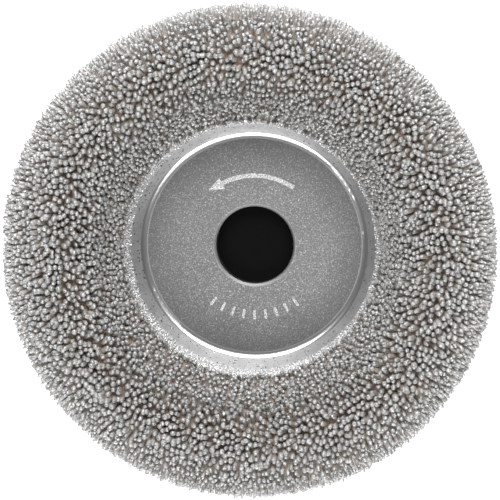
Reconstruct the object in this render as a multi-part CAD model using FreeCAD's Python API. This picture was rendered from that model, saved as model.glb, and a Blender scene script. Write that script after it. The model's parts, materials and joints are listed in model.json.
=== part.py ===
import FreeCAD, Part
import math
import os

# Carbide-needle rasp wheel: a pressed steel dish with a deep round recess, a hub web
# with a bore at the bottom of the recess, and a rounded rim covered in short carbide
# needles that stand square to its surface and are held by a thin coat of braze.
# Millimetres. The origin is on the bore's axis, in the plane of the hub's back face.
# +Z points out of the recess, towards the working side.

# ---- overall sizes -------------------------------------------------------------
outer_diameter = 63.5        # over the needles' tips at the widest ring
rim_height = 13.0            # the rim's steel crown above the hub's back face
back_gap = 1.0               # the skirt's back edge above the hub's back face

# ---- steel dish ----------------------------------------------------------------
sheet = 2.2                  # thickness of the pressed steel, all over
bore_diameter = 10.0         # takes the machine's arbor
bore_chamfer = 0.3
face_diameter = 28.0         # flat of the hub's front face
face_fillet = 1.0            # between the hub's face and the recess wall
wall_angle = 54.0            # the recess wall's slope from flat, degrees
lip_radius = 5.0             # from the recess wall to the crown
crown_angle = 41.0           # how far the crown turns outwards before the shoulder, degrees
shoulder_radius = 3.1        # from the crown to the skirt
skirt_taper = 12.0           # the skirt's lean inwards towards its back edge, degrees
skirt_edge_round = 0.5

# ---- coat ----------------------------------------------------------------------
braze_thickness = 0.12
needle_length = 1.9          # needles on the rim, above the braze
wall_needle_length = 1.4     # needles low down on the recess wall
fringe_needle_length = 0.6   # stubby needles where the coat fades out
bare_wall = 1.9              # length of recess wall with braze only, along its slope
lip_fringe = 2.3             # width of the stubby needles above it
braze_margin = 1.0           # bare steel left at the skirt's back edge
needle_margin = 0.6          # braze left uncovered past the last needles
back_fringe = 1.0            # width of the stubby needles at the skirt's back edge

FULL_TURN = 360.0
HALF = 0.5
THIRD = 1 / 3
SAME = 1e-4                  # two sizes nearer than this are the same
AXIS_POINT = FreeCAD.Vector(0, 0, 0)
AXIS = FreeCAD.Vector(0, 0, 1)


def at(radius, height):
    """A point of the wheel's section, which lies in the XZ plane."""
    return FreeCAD.Vector(radius, 0, height)


def normal(angle):
    """The section's outward normal. 0 is straight up, and 90 points away from the axis."""
    turn = math.radians(angle)
    return at(math.sin(turn), math.cos(turn))


class Straight:
    """A straight stretch of the section, with one normal all along."""

    def __init__(self, start, end, angle):
        self.start = start
        self.end = end
        self.angle = angle

    def point(self, share, lift):
        return self.start + (self.end - self.start) * share + normal(self.angle) * lift

    def edge(self, share_0, share_1, lift):
        return Part.LineSegment(self.point(share_0, lift), self.point(share_1, lift)).toShape()

    def length(self):
        return (self.end - self.start).Length


class Bend:
    """An arc of the section. A radius below zero bends the hollow way, as a fillet does."""

    def __init__(self, start, radius, angle_0, angle_1):
        self.centre = start - normal(angle_0) * radius
        self.radius = radius
        self.angle_0 = angle_0
        self.angle_1 = angle_1
        self.start = start
        self.end = self.point(1.0, 0.0)

    def point(self, share, lift):
        angle = self.angle_0 + (self.angle_1 - self.angle_0) * share
        return self.centre + normal(angle) * (self.radius + lift)

    def edge(self, share_0, share_1, lift):
        middle = self.point((share_0 + share_1) / 2, lift)
        return Part.Arc(self.point(share_0, lift), middle, self.point(share_1, lift)).toShape()


# ---- the section's outer line, from the hub's face to the skirt's back edge ---------
def wall_length():
    """The wall is as long as the rim's height leaves, between its fillet and the lip."""
    slope = math.radians(wall_angle)
    rise = rim_height - sheet - (face_fillet + lip_radius) * (1 - math.cos(slope))
    return rise / math.sin(slope)


def crown_radius(crown_start):
    """The crown's arc fills the width left between the lip and the shoulder."""
    turn = math.sin(math.radians(crown_angle))
    widest = outer_diameter / 2 - needle_length - braze_thickness
    return (widest - crown_start.x - shoulder_radius * (1 - turn)) / turn


def skirt_end(start):
    """The skirt's back edge, at back_gap above the hub's back face."""
    lean = math.radians(skirt_taper)
    inner_edge_drop = sheet * math.sin(lean)
    drop = start.z - back_gap - inner_edge_drop
    return at(start.x - drop * math.tan(lean), start.z - drop)


face = Straight(at(bore_diameter / 2 + bore_chamfer, sheet), at(face_diameter / 2, sheet), 0)
fillet = Bend(face.end, -face_fillet, 0, -wall_angle)
along_wall = at(math.cos(math.radians(wall_angle)), math.sin(math.radians(wall_angle)))
wall = Straight(fillet.end, fillet.end + along_wall * wall_length(), -wall_angle)
lip = Bend(wall.end, lip_radius, -wall_angle, 0)
crown = Bend(lip.end, crown_radius(lip.end), 0, crown_angle)
shoulder = Bend(crown.end, shoulder_radius, crown_angle, 90 + skirt_taper)
skirt = Straight(shoulder.end, skirt_end(shoulder.end), 90 + skirt_taper)


def spun(edges):
    """Turns a closed outline of the section into a ring."""
    outline = Part.Wire(Part.__sortEdges__(edges))
    return Part.Face(outline).revolve(AXIS_POINT, AXIS, FULL_TURN)


def straight_edge(start, end):
    return Part.LineSegment(start, end).toShape()


def layer(stretches, inner_lift, outer_lift):
    """A ring that follows the section, from one lift above the steel to another.

    Each stretch is a piece of the section with the shares of it where the ring runs."""
    edges = []
    for piece, share_0, share_1 in stretches:
        edges.append(piece.edge(share_0, share_1, inner_lift))
        edges.append(piece.edge(share_0, share_1, outer_lift))
    first, first_share, _ = stretches[0]
    last, _, last_share = stretches[-1]
    edges.append(straight_edge(first.point(first_share, inner_lift), first.point(first_share, outer_lift)))
    edges.append(straight_edge(last.point(last_share, inner_lift), last.point(last_share, outer_lift)))
    return spun(edges)


# ---- sub-parts -----------------------------------------------------------------
def round_skirt_edge(dish):
    """Rounds the two corners of the skirt's cut edge."""
    end_radii = [skirt.point(1.0, 0.0).x, skirt.point(1.0, -sheet).x]
    end_heights = [skirt.point(1.0, 0.0).z, skirt.point(1.0, -sheet).z]
    corners = []
    for edge in dish.Edges:
        if not isinstance(edge.Curve, Part.Circle):
            continue
        for radius, height in zip(end_radii, end_heights):
            same_radius = abs(edge.Curve.Radius - radius) < SAME
            same_height = abs(edge.Curve.Center.z - height) < SAME
            if same_radius and same_height:
                corners.append(edge)
    return dish.makeFillet(min(skirt_edge_round, sheet * THIRD), corners)


def make_steel_dish():
    """One pressing: hub web with its bore, recess wall, rounded rim and skirt."""
    bore_radius = bore_diameter / 2
    edges = []
    for piece in (fillet, wall, lip, crown, shoulder, skirt):
        edges.append(piece.edge(0, 1, 0.0))
        edges.append(piece.edge(0, 1, -sheet))
    edges.append(straight_edge(skirt.point(1, 0.0), skirt.point(1, -sheet)))
    hub_line = [
        face.end,
        face.start,
        at(bore_radius, sheet - bore_chamfer),
        at(bore_radius, bore_chamfer),
        at(bore_radius + bore_chamfer, 0),
        at(face_diameter / 2, 0),
    ]
    for start, end in zip(hub_line, hub_line[1:]):
        edges.append(straight_edge(start, end))
    return round_skirt_edge(spun(edges))


def make_braze_coat():
    """The thin coat of braze from the foot of the recess wall to near the skirt's edge."""
    end_share = 1 - braze_margin / skirt.length()
    stretches = [(wall, 0, 1), (lip, 0, 1), (crown, 0, 1), (shoulder, 0, 1), (skirt, 0, end_share)]
    return layer(stretches, 0.0, braze_thickness)


def needle_ring(stretches, length):
    """The room that one zone's needles stand in, from the braze to their tips."""
    return layer(stretches, braze_thickness, braze_thickness + length)


def needle_zones():
    """Name, stretches of the section and needle length of each zone, from the recess out."""
    bare_share = bare_wall / wall.length()
    grown_share = (bare_wall + lip_fringe) / wall.length()
    outward_turn = 90.0 - crown_angle
    widest_share = outward_turn / (outward_turn + skirt_taper)
    last_share = 1 - (braze_margin + needle_margin) / skirt.length()
    fringe_share = last_share - back_fringe / skirt.length()
    middle_share = fringe_share * HALF
    return [
        ("lip_fringe_needles", [(wall, bare_share, grown_share)], fringe_needle_length),
        ("wall_needles", [(wall, grown_share, 1)], wall_needle_length),
        ("lip_needles", [(lip, 0, 1)], needle_length),
        ("crown_needles", [(crown, 0, HALF)], needle_length),
        ("outer_crown_needles", [(crown, HALF, 1)], needle_length),
        ("shoulder_needles", [(shoulder, 0, widest_share)], needle_length),
        ("front_skirt_needles", [(shoulder, widest_share, 1), (skirt, 0, middle_share)], needle_length),
        ("back_skirt_needles", [(skirt, middle_share, fringe_share)], needle_length),
        ("back_fringe_needles", [(skirt, fringe_share, last_share)], fringe_needle_length),
    ]


def save(name, shape):
    shape.exportStep(os.path.join("parts", name + ".step"))
    box = shape.BoundBox
    print(f"{name}: volume {shape.Volume:.1f} mm3, z {box.ZMin:.2f} to {box.ZMax:.2f}, "
          f"radius {box.XMax:.2f}, solids {len(shape.Solids)}, valid {shape.isValid()}")


def main():
    os.makedirs("parts", exist_ok=True)
    save("steel_dish", make_steel_dish())
    save("braze_coat", make_braze_coat())
    for name, stretches, length in needle_zones():
        save(name, needle_ring(stretches, length))


main()
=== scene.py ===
import bisect
import json
import math
import random

import bpy
from mathutils import Matrix, Vector
from mathutils.bvhtree import BVHTree

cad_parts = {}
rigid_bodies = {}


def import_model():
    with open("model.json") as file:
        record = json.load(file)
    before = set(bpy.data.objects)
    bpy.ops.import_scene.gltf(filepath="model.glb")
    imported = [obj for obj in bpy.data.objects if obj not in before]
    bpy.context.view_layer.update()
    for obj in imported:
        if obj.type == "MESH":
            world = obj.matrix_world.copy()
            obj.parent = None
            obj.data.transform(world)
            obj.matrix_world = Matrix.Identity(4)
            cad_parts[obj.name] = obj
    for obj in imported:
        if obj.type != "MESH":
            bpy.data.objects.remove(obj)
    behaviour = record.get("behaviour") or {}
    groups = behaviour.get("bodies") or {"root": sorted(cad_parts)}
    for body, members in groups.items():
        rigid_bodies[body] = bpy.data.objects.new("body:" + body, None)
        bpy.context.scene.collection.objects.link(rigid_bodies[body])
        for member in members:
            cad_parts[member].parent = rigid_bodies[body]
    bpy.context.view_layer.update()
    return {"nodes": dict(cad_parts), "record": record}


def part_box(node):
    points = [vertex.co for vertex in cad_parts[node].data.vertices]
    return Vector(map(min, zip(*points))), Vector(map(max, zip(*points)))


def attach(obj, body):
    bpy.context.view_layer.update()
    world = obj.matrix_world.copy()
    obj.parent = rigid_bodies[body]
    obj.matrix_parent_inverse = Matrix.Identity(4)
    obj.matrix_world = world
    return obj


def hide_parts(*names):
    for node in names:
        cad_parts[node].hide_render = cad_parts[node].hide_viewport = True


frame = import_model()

# The looks of a carbide-needle rasp wheel. The steel dish and the braze coat are the CAD
# parts themselves. A few needles and grains are modelled here, and their copies are planted
# one by one on the braze. The needles' CAD solids only say where each zone's needles stand.
# Metres. +Z points out of the hub recess, and the bore's axis is the Z axis.

MM = 0.001
SEED = 41

# ---- places that the frame gives -------------------------------------------------
DISH_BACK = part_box("steel_dish")[0].z
FRINGE_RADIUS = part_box("lip_fringe_needles")[1].x
WHEEL_LOW, WHEEL_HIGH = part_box("shoulder_needles")
MOUNTS = {mount["name"]: mount for mount in frame["record"]["mounts"]}
BORE_RADIUS = MOUNTS["bore"]["dims"]["r_mm"] * MM
HUB_FACE_HEIGHT = MOUNTS["hub_front_seat"]["pos_m"][2]
FACE_RADIUS = 14.0 * MM           # where the hub's flat face ends
WHEEL_RADIUS = WHEEL_HIGH.x
WIDEST_HEIGHT = WHEEL_LOW.z       # the back of the widest ring

# ---- needles -----------------------------------------------------------------------
SHAPES = 6                        # different needles modelled of each kind
NEEDLE_SIDES = {"blunt": 6, "pointed": 5}
NEEDLE_FULL = 1.9 * MM            # from the braze to the coat's outer face on the rim
NEEDLE_HEIGHTS = (0.74, 0.98)     # shortest and tallest, as shares of the room above the foot
NEEDLE_OVAL = (0.85, 1.15)        # one radius over the other
NEEDLE_LEAN = 9.0                 # largest lean away from square, degrees
NEEDLE_ROOT = 0.10 * MM           # how deep a needle's foot sits in the braze
NEEDLE_TRIES = 9                  # feet tried for each square of a zone's spacing
EDGE_HEIGHT = 0.62                # share of its full height that the wall zone's first needle has
STUBS_FROM = (0.52, 0.76)         # how far up the fringe the stubs start
RECESS_LIFT = 1.1                 # how far the recess's needles turn up, out of the recess
WIDEST_SPACING = 0.60 * MM        # more than any zone's spacing

# ---- grit --------------------------------------------------------------------------
GRAINS = 4                        # different grains modelled
GRIT_SPACING = 0.24 * MM
GRIT_RADIUS = (0.09 * MM, 0.20 * MM)
GRIT_HEIGHT = (1.0, 2.2)          # over its radius
GRIT_LEAN = 25.0                  # degrees
GRIT_ROOT = 0.04 * MM
GRIT_TRIES = 5                    # feet tried for each square of the spacing

# Each zone's piece, the least distance between feet, the needles' radii and their kind.
ZONES = {
    "lip_fringe_needles": ("lip_fringe_stub_field", 0.46 * MM, (0.24 * MM, 0.33 * MM), "blunt"),
    "wall_needles": ("wall_needle_field", 0.54 * MM, (0.30 * MM, 0.40 * MM), "blunt"),
    "lip_needles": ("lip_needle_field", 0.54 * MM, (0.31 * MM, 0.41 * MM), "blunt"),
    "crown_needles": ("crown_needle_field", 0.53 * MM, (0.34 * MM, 0.45 * MM), "blunt"),
    "outer_crown_needles": ("outer_crown_needle_field", 0.48 * MM, (0.29 * MM, 0.39 * MM), "blunt"),
    "shoulder_needles": ("shoulder_needle_field", 0.41 * MM, (0.23 * MM, 0.33 * MM), "pointed"),
    "front_skirt_needles": ("front_skirt_needle_field", 0.42 * MM, (0.23 * MM, 0.33 * MM), "pointed"),
    "back_skirt_needles": ("back_skirt_needle_field", 0.47 * MM, (0.24 * MM, 0.33 * MM), "blunt"),
}
FRINGES = {
    "lip_fringe_needles": "lip_fringe_grit",
    "back_fringe_needles": "back_fringe_grit",
}


# ---- small helpers -------------------------------------------------------------------
SAME_LEVEL = 1e-4                 # faces nearer in height than this are level


def pick_out(pieces):
    """Selects these pieces only, with the first one active."""
    for thing in bpy.context.view_layer.objects:
        thing.select_set(False)
    for piece in pieces:
        piece.select_set(True)
    bpy.context.view_layer.objects.active = pieces[0]


def settle(piece):
    """Puts a piece's place, turn and size into its mesh."""
    pick_out([piece])
    bpy.ops.object.transform_apply(location=True, rotation=True, scale=True)


def edit(piece):
    """Settles a new primitive and opens it in edit mode with nothing selected."""
    settle(piece)
    bpy.ops.object.mode_set(mode="EDIT")
    bpy.ops.mesh.select_mode(type="FACE")
    bpy.ops.mesh.select_all(action="DESELECT")


def leave_edit():
    bpy.ops.object.mode_set(mode="OBJECT")


def select_faces(piece, wanted):
    """Selects only the faces for which wanted(face) is true. Ends in edit mode."""
    bpy.ops.mesh.select_all(action="DESELECT")
    bpy.ops.object.mode_set(mode="OBJECT")
    for face in piece.data.polygons:
        face.select = wanted(face)
    bpy.ops.object.mode_set(mode="EDIT")


def select_top(piece):
    """Selects the faces level with the highest one."""
    top = max(face.center.z for face in piece.data.polygons)
    select_faces(piece, lambda face: face.center.z > top - SAME_LEVEL)


def copy_of(piece):
    """A copy with its own mesh."""
    copy = piece.copy()
    copy.data = piece.data.copy()
    bpy.context.scene.collection.objects.link(copy)
    return copy


def join(name, pieces):
    """Makes one piece of several."""
    pick_out(pieces)
    bpy.ops.object.join()
    pieces[0].name = name
    pieces[0].data.name = name
    return pieces[0]


def paint_over(piece, material):
    piece.data.materials.clear()
    piece.data.materials.append(material)


def finish_piece(piece, material):
    """Gives a piece its material and slot, and lets it ride on the wheel."""
    paint_over(piece, material)
    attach(piece, "root")


# ---- needle and grain shapes: radius 1, height about 1, foot at z = 0 ----------------
NEEDLE_FOOT = 0.12                # height of the straight prism at a needle's foot
NEEDLE_SHIFT = 0.10               # how far a lump sits off the one below
NEEDLE_ROUGHNESS = 0.07           # how far each corner is moved at random
NEEDLE_PEAK = 0.03                # rise of the middle of its top face
GRAIN_SIDES = 5
GRAIN_FOOT = 0.5
GRAIN_RISE = 0.4
GRAIN_SPREAD = 0.62               # width of a grain's top over its foot's
GRAIN_SHIFT = 0.2
GRAIN_ROUGHNESS = 0.12
GRAIN_PEAK = 0.05
SEEDS = 1000                      # how many different random roughenings there are


def add_prism(name, sides, height):
    """A prism of radius 1 with its foot at z = 0, open for editing."""
    bpy.ops.mesh.primitive_cylinder_add(vertices=sides, radius=1.0, depth=height,
                                        location=(0, 0, height / 2), end_fill_type="NGON")
    piece = bpy.context.object
    piece.name = name
    edit(piece)
    return piece


def grow_top(piece, rise, spread, most_shift, rng):
    """Extrudes the top face upwards, a little off centre, and changes its width."""
    shift_x = rng.uniform(-most_shift, most_shift)
    shift_y = rng.uniform(-most_shift, most_shift)
    select_top(piece)
    bpy.ops.mesh.extrude_region_move(TRANSFORM_OT_translate={"value": (shift_x, shift_y, rise)})
    bpy.ops.transform.resize(value=(spread, spread, 1.0))
    leave_edit()
    bpy.ops.object.mode_set(mode="EDIT")


def roughen(piece, peak, roughness, rng):
    """Raises the middle of the top face and moves every corner at random. Leaves edit mode."""
    select_top(piece)
    bpy.ops.mesh.poke(offset=peak)
    bpy.ops.mesh.select_all(action="SELECT")
    bpy.ops.transform.vertex_random(offset=roughness, uniform=1.0, normal=0.0, seed=rng.randrange(SEEDS))
    bpy.ops.mesh.normals_make_consistent(inside=False)
    leave_edit()


def model_needle(name, sides, lumps, rng):
    """One column of grains: a prism whose top is extruded lump by lump, each a rise and a width."""
    piece = add_prism(name, sides, NEEDLE_FOOT)
    for rise, spread in lumps:
        grow_top(piece, rise, spread, NEEDLE_SHIFT, rng)
    roughen(piece, NEEDLE_PEAK, NEEDLE_ROUGHNESS, rng)
    bpy.ops.object.shade_smooth()
    return piece


def make_needle_shapes(rng):
    """The few needles that the whole coat is planted with, blunt ones and pointed ones."""
    shapes = {"blunt": [], "pointed": []}
    for kind, pieces in shapes.items():
        for number in range(SHAPES):
            lumps = [(0.24, rng.uniform(0.80, 0.92)), (0.22, rng.uniform(1.04, 1.18)),
                     (0.22, rng.uniform(0.92, 1.04))]
            if kind == "blunt":
                tip = [(0.15, rng.uniform(1.00, 1.10)), (0.09, rng.uniform(0.80, 0.90)), (0.08, 0.50)]
            else:
                tip = [(0.16, rng.uniform(0.82, 0.94)), (0.14, rng.uniform(0.56, 0.70))]
            name = f"{kind}_needle_shape_{number}"
            pieces.append(model_needle(name, NEEDLE_SIDES[kind], lumps + tip, rng))
    return shapes


def model_grain(name, rng):
    """One stubby grain: a low prism with a chipped top."""
    piece = add_prism(name, GRAIN_SIDES, GRAIN_FOOT)
    grow_top(piece, GRAIN_RISE, GRAIN_SPREAD, GRAIN_SHIFT, rng)
    roughen(piece, GRAIN_PEAK, GRAIN_ROUGHNESS, rng)
    return piece


def note_height(shapes, lowest):
    """Keeps each point's height up its needle, from lowest to 1, for the shade at its foot."""
    for shape in shapes:
        top = max(vertex.co.z for vertex in shape.data.vertices)
        height = shape.data.attributes.new("height", "FLOAT", "POINT")
        shares = [lowest + (1 - lowest) * vertex.co.z / top for vertex in shape.data.vertices]
        height.data.foreach_set("value", shares)


# ---- planting ----------------------------------------------------------------------
ON_BRAZE = 0.01 * MM              # nearer to the braze than this is on it
OUTER_FACE = 0.25 * NEEDLE_FULL   # farther from the braze than this is the coat's outer face
FACES_OUT = 0.7                   # least cosine between an outer face and the way off the braze
REACH = 1.5 * NEEDLE_FULL         # how far up a needle looks for the outer face
NO_ROOF = 0.9 * NEEDLE_FULL       # its room where it finds none


def braze_tree():
    mesh = frame["nodes"]["braze_coat"].data
    corners = [vertex.co.copy() for vertex in mesh.vertices]
    return BVHTree.FromPolygons(corners, [tuple(face.vertices) for face in mesh.polygons])


def ground_triangles(node, braze):
    """The zone's faces that lie on the braze: corners, area and the way a needle points."""
    mesh = frame["nodes"][node].data
    ground = []
    for face in mesh.polygons:
        _, _, _, distance = braze.find_nearest(face.center)
        if distance > ON_BRAZE:
            continue
        corners = [mesh.vertices[i].co.copy() for i in face.vertices]
        ground.append((corners, face.area, -face.normal.copy()))
    return ground


def scatter(ground, count, rng):
    """Random feet over a zone's ground, as many on each triangle as its area asks."""
    areas = []
    total = 0.0
    for _, area, _ in ground:
        total += area
        areas.append(total)
    feet = []
    for _ in range(count):
        corners, _, way = ground[bisect.bisect_left(areas, rng.random() * total)]
        u = rng.random()
        v = rng.random()
        if u + v > 1:
            u, v = 1 - u, 1 - v
        foot = corners[0] + (corners[1] - corners[0]) * u + (corners[2] - corners[0]) * v
        feet.append((foot, way))
    return feet


class Spacing:
    """Keeps feet at least a distance apart, with a grid of cells no smaller than that."""

    def __init__(self, cell_size):
        self.least = cell_size
        self.cell_size = cell_size
        self.cells = {}

    def cell(self, place):
        return tuple(int(math.floor(axis / self.cell_size)) for axis in place)

    def add(self, place):
        x, y, z = self.cell(place)
        for i in (x - 1, x, x + 1):
            for j in (y - 1, y, y + 1):
                for k in (z - 1, z, z + 1):
                    for other in self.cells.get((i, j, k), ()):
                        if (other - place).length < self.least:
                            return False
        self.cells.setdefault((x, y, z), []).append(place)
        return True


def plant(name, shapes, feet):
    """Copies the modelled shapes to their feet, each with its own mesh, and joins a zone's.

    Each foot is a place, a frame of three axes, the copy's three sizes and its shape's number."""
    copies = []
    for place, turn, size, shape in feet:
        copy = copy_of(shapes[shape])
        copy.data.transform(Matrix.Translation(place) @ turn.to_4x4() @ Matrix.Diagonal((*size, 1.0)))
        copies.append(copy)
    return join(name, copies)


def frame_along(way, rng):
    """Three axes with Z along way, turned at random about it."""
    side = way.orthogonal().normalized()
    side.rotate(Matrix.Rotation(rng.uniform(0, 2 * math.pi), 3, way))
    other = way.cross(side)
    return Matrix((side, other, way)).transposed()


def lean(way, most, rng):
    """The way, leant by a random angle up to most, in degrees."""
    around = way.orthogonal().normalized()
    around.rotate(Matrix.Rotation(rng.uniform(0, 2 * math.pi), 3, way))
    tilted = way.copy()
    tilted.rotate(Matrix.Rotation(math.radians(most) * rng.random(), 3, around))
    return tilted


def lifted(foot, way):
    """The way, turned up out of the recess as far as it looks towards the wheel's axis."""
    inward = max(0.0, -way.dot(Vector((foot.x, foot.y, 0.0)).normalized()))
    return (way + Vector((0.0, 0.0, RECESS_LIFT * inward))).normalized()


def roof_tree(braze):
    """The coat's outer face, over every needle zone, without the walls between zones."""
    corners = []
    faces = []
    for node in ZONES:
        mesh = frame["nodes"][node].data
        for face in mesh.polygons:
            near, _, _, distance = braze.find_nearest(face.center)
            off_braze = (face.center - near).normalized()
            if distance < OUTER_FACE or face.normal.dot(off_braze) < FACES_OUT:
                continue
            faces.append(tuple(range(len(corners), len(corners) + 3)))
            corners.extend(mesh.vertices[i].co.copy() for i in face.vertices)
    return BVHTree.FromPolygons(corners, faces)


def headroom(roof, foot, way):
    """How tall a needle may stand here before it leaves the coat."""
    place, _, _, distance = roof.ray_cast(foot, way, REACH)
    return distance if place is not None else NO_ROOF


def share_up(foot, low, high):
    """How far up a box a foot is, from 0 to 1."""
    return (foot.z - low.z) / (high.z - low.z)


def plant_needles(shapes, braze, rng):
    """Every needle of the coat, zone by zone, with the spacing kept across zones."""
    spacing = Spacing(WIDEST_SPACING)
    roof = roof_tree(braze)
    fields = {}
    for node, (name, apart, radii, kind) in ZONES.items():
        spacing.least = apart
        ground = ground_triangles(node, braze)
        area = sum(area for _, area, _ in ground)
        low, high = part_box(node)
        feet = []
        for foot, way in scatter(ground, int(area / apart ** 2 * NEEDLE_TRIES), rng):
            share = share_up(foot, low, high)
            if node in FRINGES and share < rng.uniform(*STUBS_FROM):
                continue
            if not spacing.add(foot):
                continue
            pointed = lean(lifted(foot, way), NEEDLE_LEAN, rng)
            height = headroom(roof, foot, pointed) * rng.uniform(*NEEDLE_HEIGHTS)
            if node == "wall_needles":
                height *= EDGE_HEIGHT + (1 - EDGE_HEIGHT) * share
            radius = rng.uniform(*radii)
            turn = frame_along(pointed, rng)
            size = (radius, radius * rng.uniform(*NEEDLE_OVAL), height + NEEDLE_ROOT)
            feet.append((foot - pointed * NEEDLE_ROOT, turn, size, rng.randrange(SHAPES)))
        fields[node] = plant(name, shapes[kind], feet)
    return fields


def plant_grit(grains, braze, rng):
    """The short grit where the coat fades out, sparser away from the needles."""
    fields = {}
    for node, name in FRINGES.items():
        spacing = Spacing(GRIT_SPACING)
        ground = ground_triangles(node, braze)
        area = sum(area for _, area, _ in ground)
        low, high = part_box(node)
        feet = []
        for foot, way in scatter(ground, int(area / GRIT_SPACING ** 2 * GRIT_TRIES), rng):
            share = share_up(foot, low, high)
            kept = 0.30 + 1.5 * share
            width = 0.7 + 0.5 * share
            if rng.random() > kept or not spacing.add(foot):
                continue
            pointed = lean(way, GRIT_LEAN, rng)
            radius = rng.uniform(*GRIT_RADIUS) * width
            size = (radius, radius, radius * rng.uniform(*GRIT_HEIGHT))
            turn = frame_along(pointed, rng)
            feet.append((foot - way * GRIT_ROOT, turn, size, rng.randrange(GRAINS)))
        fields[node] = plant(name, grains, feet)
    return fields


# ---- materials -----------------------------------------------------------------------
class Paint:
    """A node material under construction, with its principled shader at hand."""

    def __init__(self, name):
        self.material = bpy.data.materials.new(name)
        self.material.use_nodes = True
        self.nodes = self.material.node_tree.nodes
        self.links = self.material.node_tree.links
        self.shader = self.nodes["Principled BSDF"]
        self.object = self.nodes.new("ShaderNodeTexCoord").outputs["Object"]

    def set(self, **values):
        """Even values, straight on the shader's sockets."""
        for name, value in values.items():
            self.shader.inputs[name.replace("_", " ")].default_value = value

    def noise(self, size, detail=2.0, roughness=0.5):
        """A noise whose features are about size across."""
        node = self.nodes.new("ShaderNodeTexNoise")
        node.inputs["Scale"].default_value = 1.0 / size
        node.inputs["Detail"].default_value = detail
        node.inputs["Roughness"].default_value = roughness
        self.links.new(self.object, node.inputs["Vector"])
        return node.outputs["Fac"]

    def math(self, operation, first, second=None):
        """A sum on sockets or numbers."""
        node = self.nodes.new("ShaderNodeMath")
        node.operation = operation
        for socket, value in zip(node.inputs, (first, second)):
            if value is None:
                continue
            if isinstance(value, (int, float)):
                socket.default_value = value
            else:
                self.links.new(value, socket)
        return node.outputs[0]

    def ramp(self, source, stops):
        """Colours or greys along a source. stops are (place, colour) pairs."""
        node = self.nodes.new("ShaderNodeValToRGB")
        band = node.color_ramp
        while len(band.elements) < len(stops):
            band.elements.new(0.5)
        for element, (place, colour) in zip(band.elements, stops):
            element.position = place
            if isinstance(colour, (int, float)):
                colour = (colour, colour, colour)
            element.color = (*colour, 1.0)
        self.links.new(source, node.inputs["Fac"])
        return node.outputs["Color"]

    def mix(self, share, first, second):
        """The first colour where share is 0, and the second where it is 1."""
        node = self.nodes.new("ShaderNodeMix")
        node.data_type = "RGBA"
        if isinstance(share, (int, float)):
            node.inputs["Factor"].default_value = share
        else:
            self.links.new(share, node.inputs["Factor"])
        for socket, value in ((node.inputs[6], first), (node.inputs[7], second)):
            if isinstance(value, tuple):
                socket.default_value = (*value, 1.0)
            else:
                self.links.new(value, socket)
        return node.outputs[2]

    def bump(self, height, depth, strength, under=None):
        """Relief of a depth in metres, on top of another relief if there is one under it."""
        node = self.nodes.new("ShaderNodeBump")
        node.inputs["Strength"].default_value = strength
        node.inputs["Distance"].default_value = depth
        self.links.new(height, node.inputs["Height"])
        if under is not None:
            self.links.new(under, node.inputs["Normal"])
        return node.outputs["Normal"]

    def attribute(self, name):
        node = self.nodes.new("ShaderNodeAttribute")
        node.attribute_name = name
        return node.outputs["Fac"]

    def radius_over(self, full):
        """Distance from the wheel's axis, as a share of a full radius."""
        node = self.nodes.new("ShaderNodeSeparateXYZ")
        self.links.new(self.object, node.inputs[0])
        x, y, _ = node.outputs
        squares = self.math("ADD", self.math("MULTIPLY", x, x), self.math("MULTIPLY", y, y))
        return self.math("DIVIDE", self.math("SQRT", squares), full)

    def feed(self, source, socket):
        self.links.new(source, self.shader.inputs[socket])


def carbide():
    """Braze-wetted carbide grain: grey and granular, with painted glints in its grain, and painted paler
    and browner at its foot as painted fill light and painted warm shade down between the needles.

    The rim's needles, which do the cutting, are painted brighter, as painted light on the flank."""
    paint = Paint("brazed_carbide")
    paint.set(Metallic=0.5)
    grain = paint.noise(0.15 * MM, 3.0, 0.70)
    patch = paint.noise(0.9 * MM, 2.0)
    # Painted fill light and painted warm shade: the foot is paler and browner than the tip.
    foot = paint.ramp(grain, [(0.30, (0.54, 0.50, 0.46)), (0.70, (0.84, 0.80, 0.76))])
    # The tip's brightest grains are painted glints.
    tip = paint.ramp(grain, [(0.38, (0.06, 0.059, 0.058)), (0.52, (0.15, 0.149, 0.147)),
                             (0.64, (0.48, 0.48, 0.47))])
    tip = paint.mix(0.20, tip, paint.ramp(patch, [(0.35, 0.10), (0.65, 0.28)]))
    # Painted light on the flank: the rim's needles are painted brighter.
    rim_lit_tone = paint.ramp(grain, [(0.38, 0.11), (0.52, 0.26), (0.64, 0.60)])
    rim = paint.ramp(paint.radius_over(WHEEL_RADIUS), [(0.84, 0.0), (1.0, 0.9)])
    tip = paint.mix(rim, tip, rim_lit_tone)
    climb = paint.ramp(paint.attribute("height"), [(0.35, 0.0), (0.70, 0.6), (0.90, 1.0)])
    paint.feed(paint.mix(climb, foot, tip), "Base Color")
    paint.feed(paint.ramp(grain, [(0.3, 0.58), (0.7, 0.38)]), "Roughness")
    paint.feed(paint.bump(grain, 0.06 * MM, 0.9), "Normal")
    return paint.material


def grit():
    """Loose-set grit in the thin braze at the coat's edges: frosty and glittering."""
    paint = Paint("braze_frosted_grit")
    paint.set(Metallic=0.5)
    grain = paint.noise(0.17 * MM, 2.0, 0.6)
    paint.feed(paint.ramp(grain, [(0.36, 0.18), (0.52, 0.40), (0.62, 0.82)]), "Base Color")
    paint.feed(paint.ramp(grain, [(0.3, 0.50), (0.7, 0.32)]), "Roughness")
    paint.feed(paint.bump(grain, 0.04 * MM, 0.8), "Normal")
    return paint.material


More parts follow.
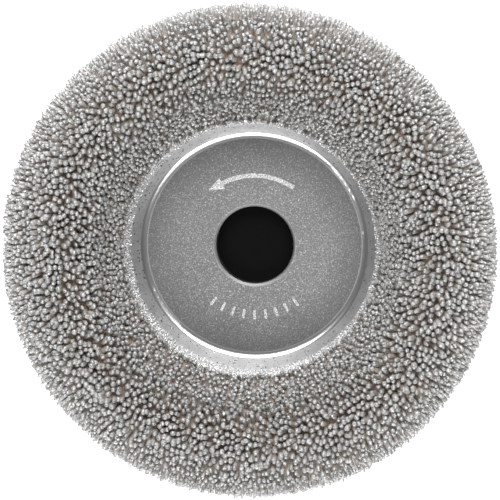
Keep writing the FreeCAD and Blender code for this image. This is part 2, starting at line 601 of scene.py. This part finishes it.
def braze():
    """Satin nickel braze: pale on the recess wall, with pits painted dark as painted shade, and white
    specks of fine grit near the fringe painted as glints.

    Past the fringe it turns rough, and is painted dark brown as painted shade down between the needles."""
    paint = Paint("satin_braze")
    cloud = paint.noise(2.4 * MM, 3.0)
    fine = paint.noise(0.16 * MM, 3.0, 0.65)
    share = paint.radius_over(FRINGE_RADIUS)
    tone = paint.ramp(cloud, [(0.3, 0.52), (0.7, 0.64)])
    # Near the fringe: white specks of fine grit, painted as glints.
    speck = paint.ramp(paint.noise(0.20 * MM, 1.0), [(0.52, 0.0), (0.60, 1.0)])
    grit_glint_specks = paint.mix(paint.ramp(share, [(0.91, 0.0), (0.97, 1.0)]), (0.0, 0.0, 0.0), speck)
    tone = paint.mix(grit_glint_specks, tone, (0.92, 0.92, 0.90))
    # Pits painted dark: painted shade in them.
    pits = paint.ramp(paint.noise(0.30 * MM, 1.0), [(0.64, 0.0), (0.68, 1.0)])
    tone = paint.mix(pits, tone, (0.10, 0.09, 0.08))
    # Past the fringe: painted dark brown, as painted shade down between the needles; it is also less
    # metallic and rougher there.
    under = paint.ramp(share, [(0.98, 0.0), (1.03, 1.0)])
    tone = paint.mix(under, tone, (0.25, 0.20, 0.165))
    paint.feed(tone, "Base Color")
    metal = paint.mix(grit_glint_specks, (1.0, 1.0, 1.0), (0.45, 0.45, 0.45))
    paint.feed(paint.mix(under, metal, (0.3, 0.3, 0.3)), "Metallic")
    rough = paint.ramp(fine, [(0.3, 0.33), (0.7, 0.44)])
    paint.feed(paint.mix(under, rough, (0.9, 0.9, 0.9)), "Roughness")
    paint.feed(paint.bump(pits, -0.04 * MM, 0.6, paint.bump(fine, 0.03 * MM, 0.8)), "Normal")
    return paint.material


def blasted_steel():
    """Bead-blasted bare steel: grey with a fine sparkle of dimples, and painted shade darkening the face
    towards the recess wall.

    The turned corners, round the bore and at the foot of the recess wall, are bright."""
    paint = Paint("blasted_steel")
    dimple = paint.noise(0.18 * MM, 2.0, 0.65)
    fine = paint.noise(0.10 * MM, 2.0, 0.6)
    cloud = paint.noise(6.0 * MM, 3.0)
    tone = paint.ramp(dimple, [(0.30, 0.05), (0.50, 0.092), (0.62, 0.165), (0.72, 0.39)])
    tone = paint.mix(0.25, tone, paint.ramp(cloud, [(0.3, 0.078), (0.7, 0.135)]))
    share = paint.radius_over(FACE_RADIUS)
    # Painted shade: the face is painted darker towards the recess wall.
    tone = paint.mix(paint.ramp(share, [(0.66, 0.0), (0.98, 0.45)]), tone, (0.05, 0.05, 0.05))
    corner = paint.ramp(share, [(0.36, 1.0), (0.385, 0.0), (0.985, 0.0), (1.01, 1.0)])
    paint.feed(paint.mix(corner, tone, (0.40, 0.40, 0.40)), "Base Color")
    paint.feed(paint.mix(corner, (0.55, 0.55, 0.55), (1.0, 1.0, 1.0)), "Metallic")
    rough = paint.ramp(fine, [(0.3, 0.72), (0.7, 0.54)])
    paint.feed(paint.mix(corner, rough, (0.28, 0.28, 0.28)), "Roughness")
    relief = paint.mix(corner, dimple, (0.5, 0.5, 0.5))
    soft = paint.bump(relief, 0.045 * MM, 0.7)
    paint.feed(paint.bump(paint.mix(corner, fine, (0.5, 0.5, 0.5)), 0.02 * MM, 0.5, soft), "Normal")
    return paint.material


def etched_steel():
    """Where the hub is etched: paler and flatter than the blasted face round it."""
    paint = Paint("etched_steel")
    paint.set(Metallic=0.5)
    grain = paint.noise(0.16 * MM, 2.0, 0.6)
    paint.feed(paint.ramp(grain, [(0.36, 0.14), (0.52, 0.30), (0.66, 0.50)]), "Base Color")
    paint.feed(paint.ramp(grain, [(0.3, 0.75), (0.7, 0.60)]), "Roughness")
    paint.feed(paint.bump(grain, 0.02 * MM, 0.5), "Normal")
    return paint.material


def plain(name, colour, rough):
    """An even finish with a faint cloud in it, for the floor and the pad."""
    paint = Paint(name)
    cloud = paint.noise(40 * MM, 2.0)
    low = tuple(channel * 0.985 for channel in colour)
    paint.feed(paint.ramp(cloud, [(0.3, low), (0.7, colour)]), "Base Color")
    paint.set(Roughness=rough)
    return paint.material


# ---- studio --------------------------------------------------------------------------
CAMERA_DISTANCE = 0.90       # from the middle of the widest ring
CAMERA_TILT = 8.4            # away from the wheel's axis, degrees
CAMERA_SIDE = 46.5           # the tilt's direction in the wheel's plane, degrees from +X
CAMERA_AIM = (0.12 * MM, 0.12 * MM)
FRAME_WIDTH = 63.9 * MM      # what the frame's width takes in at the widest ring
SENSOR_WIDTH = 36.0          # the camera's own unit, millimetres
SOFTBOX_SIZE = (0.60, 0.34)
WORLD_TONE = (0.20, 0.20, 0.203, 1.0)
FLOOR_GAP = 0.15 * MM        # between the floor and the hub's back face
PAD_GAP = 0.03 * MM          # between the pad's top and the hub's back face
PAD_THICKNESS = 0.1 * MM
PAD_WIDTH = 2.2              # over the bore's


def place_camera():
    target = Vector((*CAMERA_AIM, WIDEST_HEIGHT))
    tilt = math.radians(CAMERA_TILT)
    side = math.radians(CAMERA_SIDE)
    way = Vector((math.sin(tilt) * math.cos(side), math.sin(tilt) * math.sin(side), math.cos(tilt)))
    data = bpy.data.cameras.new("camera")
    data.sensor_width = SENSOR_WIDTH
    data.lens = SENSOR_WIDTH * CAMERA_DISTANCE / FRAME_WIDTH
    data.clip_start = 0.01
    camera = bpy.data.objects.new("camera", data)
    bpy.context.scene.collection.objects.link(camera)
    right = Vector((0, 1, 0)).cross(way).normalized()
    turn = Matrix((right, way.cross(right), way)).transposed().to_4x4()
    camera.matrix_world = Matrix.Translation(target + way * CAMERA_DISTANCE) @ turn
    bpy.context.scene.camera = camera


def softbox(name, place, power):
    """A soft rectangular lamp that looks at the wheel."""
    data = bpy.data.lights.new(name, "AREA")
    data.shape = "RECTANGLE"
    data.size, data.size_y = SOFTBOX_SIZE
    data.energy = power
    lamp = bpy.data.objects.new(name, data)
    bpy.context.scene.collection.objects.link(lamp)
    lamp.location = place
    aim = Vector((0, 0, WIDEST_HEIGHT)) - Vector(place)
    lamp.rotation_euler = aim.to_track_quat("-Z", "Y").to_euler()


def light_studio():
    softbox("softbox_rear", (0.0, 0.40, 0.38), 10.2)
    softbox("softbox_front", (0.0, -0.42, 0.36), 8.2)
    world = bpy.data.worlds.new("studio")
    world.use_nodes = True
    world.node_tree.nodes["Background"].inputs["Color"].default_value = WORLD_TONE
    bpy.context.scene.world = world
    bpy.context.scene.view_settings.view_transform = "Standard"


def lay_floor():
    """The pale floor, and a black pad on it that shows through the bore as painted shade in the hole."""
    bpy.ops.mesh.primitive_plane_add(size=3.0, location=(0, 0, DISH_BACK - FLOOR_GAP))
    floor = bpy.context.object
    floor.name = "floor"
    floor.data.materials.append(plain("pale_floor", (0.9, 0.9, 0.9), 0.8))
    pad_middle = DISH_BACK - PAD_GAP - PAD_THICKNESS / 2
    bpy.ops.mesh.primitive_cylinder_add(vertices=48, radius=PAD_WIDTH * BORE_RADIUS, depth=PAD_THICKNESS,
                                        location=(0, 0, pad_middle))
    pad = bpy.context.object
    pad.name = "black_pad"
    # The pad's black is painted shade: it darkens what shows through the bore.
    bore_shade = plain("black_bore_shade", (0.003, 0.003, 0.003), 1.0)
    bore_shade.node_tree.nodes["Principled BSDF"].inputs["Specular IOR Level"].default_value = 0.0
    pad.data.materials.append(bore_shade)


# ---- hub marks -----------------------------------------------------------------------
MARK_RADIUS = 9.0 * MM            # middle of the arrow's band and of the ticks
MARK_SUNK = 0.03 * MM             # below the hub's face
MARK_PROUD = 0.012 * MM           # above it
MARK_DEPTH = MARK_SUNK + MARK_PROUD
MARK_MIDDLE = HUB_FACE_HEIGHT - MARK_SUNK + MARK_DEPTH / 2
ARROW_BAND = 0.55 * MM
ARROW_PLACE = 118.0               # the head's foot, degrees round from +X
ARROW_SWEEP = 62.0                # the band behind the head, degrees
ARROW_HEAD_WIDTH = 2.9            # over the band's width
ARROW_HEAD_LENGTH = 1.9 * MM
ARROW_TIP_WIDTH = 0.04            # over the head's width
ARROW_STEPS = 32                  # sections of the swept band
TICKS = 9
TICK_PLACE = 270.0                # the middle tick, degrees round from +X
TICK_STEP = 9.0
TICK_SIZE = (1.25 * MM, 0.34 * MM)
TICK_ROUND = 0.14 * MM            # at its upright edges


def model_rotation_arrow():
    """The direction-of-turning arrow: an upright slip swept round the bore, with a head."""
    bpy.ops.mesh.primitive_plane_add(size=1.0, location=(MARK_RADIUS, 0, MARK_MIDDLE),
                                     rotation=(math.pi / 2, 0, 0))
    arrow = bpy.context.object
    arrow.name = "rotation_arrow_mark"
    arrow.scale = (ARROW_BAND, MARK_DEPTH, 1.0)
    edit(arrow)
    bpy.ops.mesh.select_all(action="SELECT")
    bpy.ops.mesh.spin(steps=ARROW_STEPS, angle=math.radians(ARROW_SWEEP), center=(0, 0, 0), axis=(0, 0, 1))
    select_faces(arrow, lambda face: abs(face.center.y) < 0.001 * MM)
    for onward, spread in ((0.0, ARROW_HEAD_WIDTH), (ARROW_HEAD_LENGTH, ARROW_TIP_WIDTH)):
        bpy.ops.mesh.extrude_region_move(
            TRANSFORM_OT_translate={"value": (0, onward, 0), "orient_type": "GLOBAL"})
        bpy.ops.transform.resize(value=(spread, 1, 1), orient_type="GLOBAL")
    bpy.ops.mesh.select_all(action="SELECT")
    bpy.ops.mesh.normals_make_consistent(inside=False)
    leave_edit()
    arrow.rotation_euler = (0, 0, math.radians(ARROW_PLACE))
    settle(arrow)
    return arrow


def model_tick_marks():
    """A short scale of ticks below the bore: one bevelled bar, copied round the axis."""
    bpy.ops.mesh.primitive_cube_add(size=1.0, location=(MARK_RADIUS, 0, MARK_MIDDLE))
    bar = bpy.context.object
    bar.scale = (*TICK_SIZE, MARK_DEPTH)
    edit(bar)
    bpy.ops.mesh.select_mode(type="EDGE")
    leave_edit()
    for edge in bar.data.edges:
        ends = [bar.data.vertices[i].co for i in edge.vertices]
        edge.select = abs(ends[0].z - ends[1].z) > MARK_DEPTH / 2
    bpy.ops.object.mode_set(mode="EDIT")
    bpy.ops.mesh.bevel(offset=TICK_ROUND, segments=3)
    leave_edit()
    first = TICK_PLACE - TICK_STEP * (TICKS - 1) / 2
    ticks = []
    for number in range(TICKS):
        tick = copy_of(bar)
        tick.rotation_euler = (0, 0, math.radians(first + TICK_STEP * number))
        settle(tick)
        ticks.append(tick)
    bpy.data.objects.remove(bar)
    return join("hub_tick_marks", ticks)


# ---- making ----------------------------------------------------------------------------
def cover_braze(rng):
    """The needles and the grit, which stand for the CAD's needle solids."""
    needles = make_needle_shapes(rng)
    grains = [model_grain(f"grain_shape_{number}", rng) for number in range(GRAINS)]
    shapes = needles["blunt"] + needles["pointed"] + grains
    note_height(needles["blunt"] + needles["pointed"], 0.0)
    note_height(grains, 0.6)
    braze_surface = braze_tree()
    finishes = (
        (carbide(), plant_needles(needles, braze_surface, rng)),
        (grit(), plant_grit(grains, braze_surface, rng)),
    )
    for material, fields in finishes:
        for node, field in fields.items():
            finish_piece(field, material)
            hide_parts(node)
    for shape in shapes:
        bpy.data.objects.remove(shape)


def mark_hub():
    etched = etched_steel()
    for mark in (model_rotation_arrow(), model_tick_marks()):
        finish_piece(mark, etched)


def main():
    place_camera()
    light_studio()
    lay_floor()
    cover_braze(random.Random(SEED))
    mark_hub()
    paint_over(frame["nodes"]["steel_dish"], blasted_steel())
    paint_over(frame["nodes"]["braze_coat"], braze())


main()
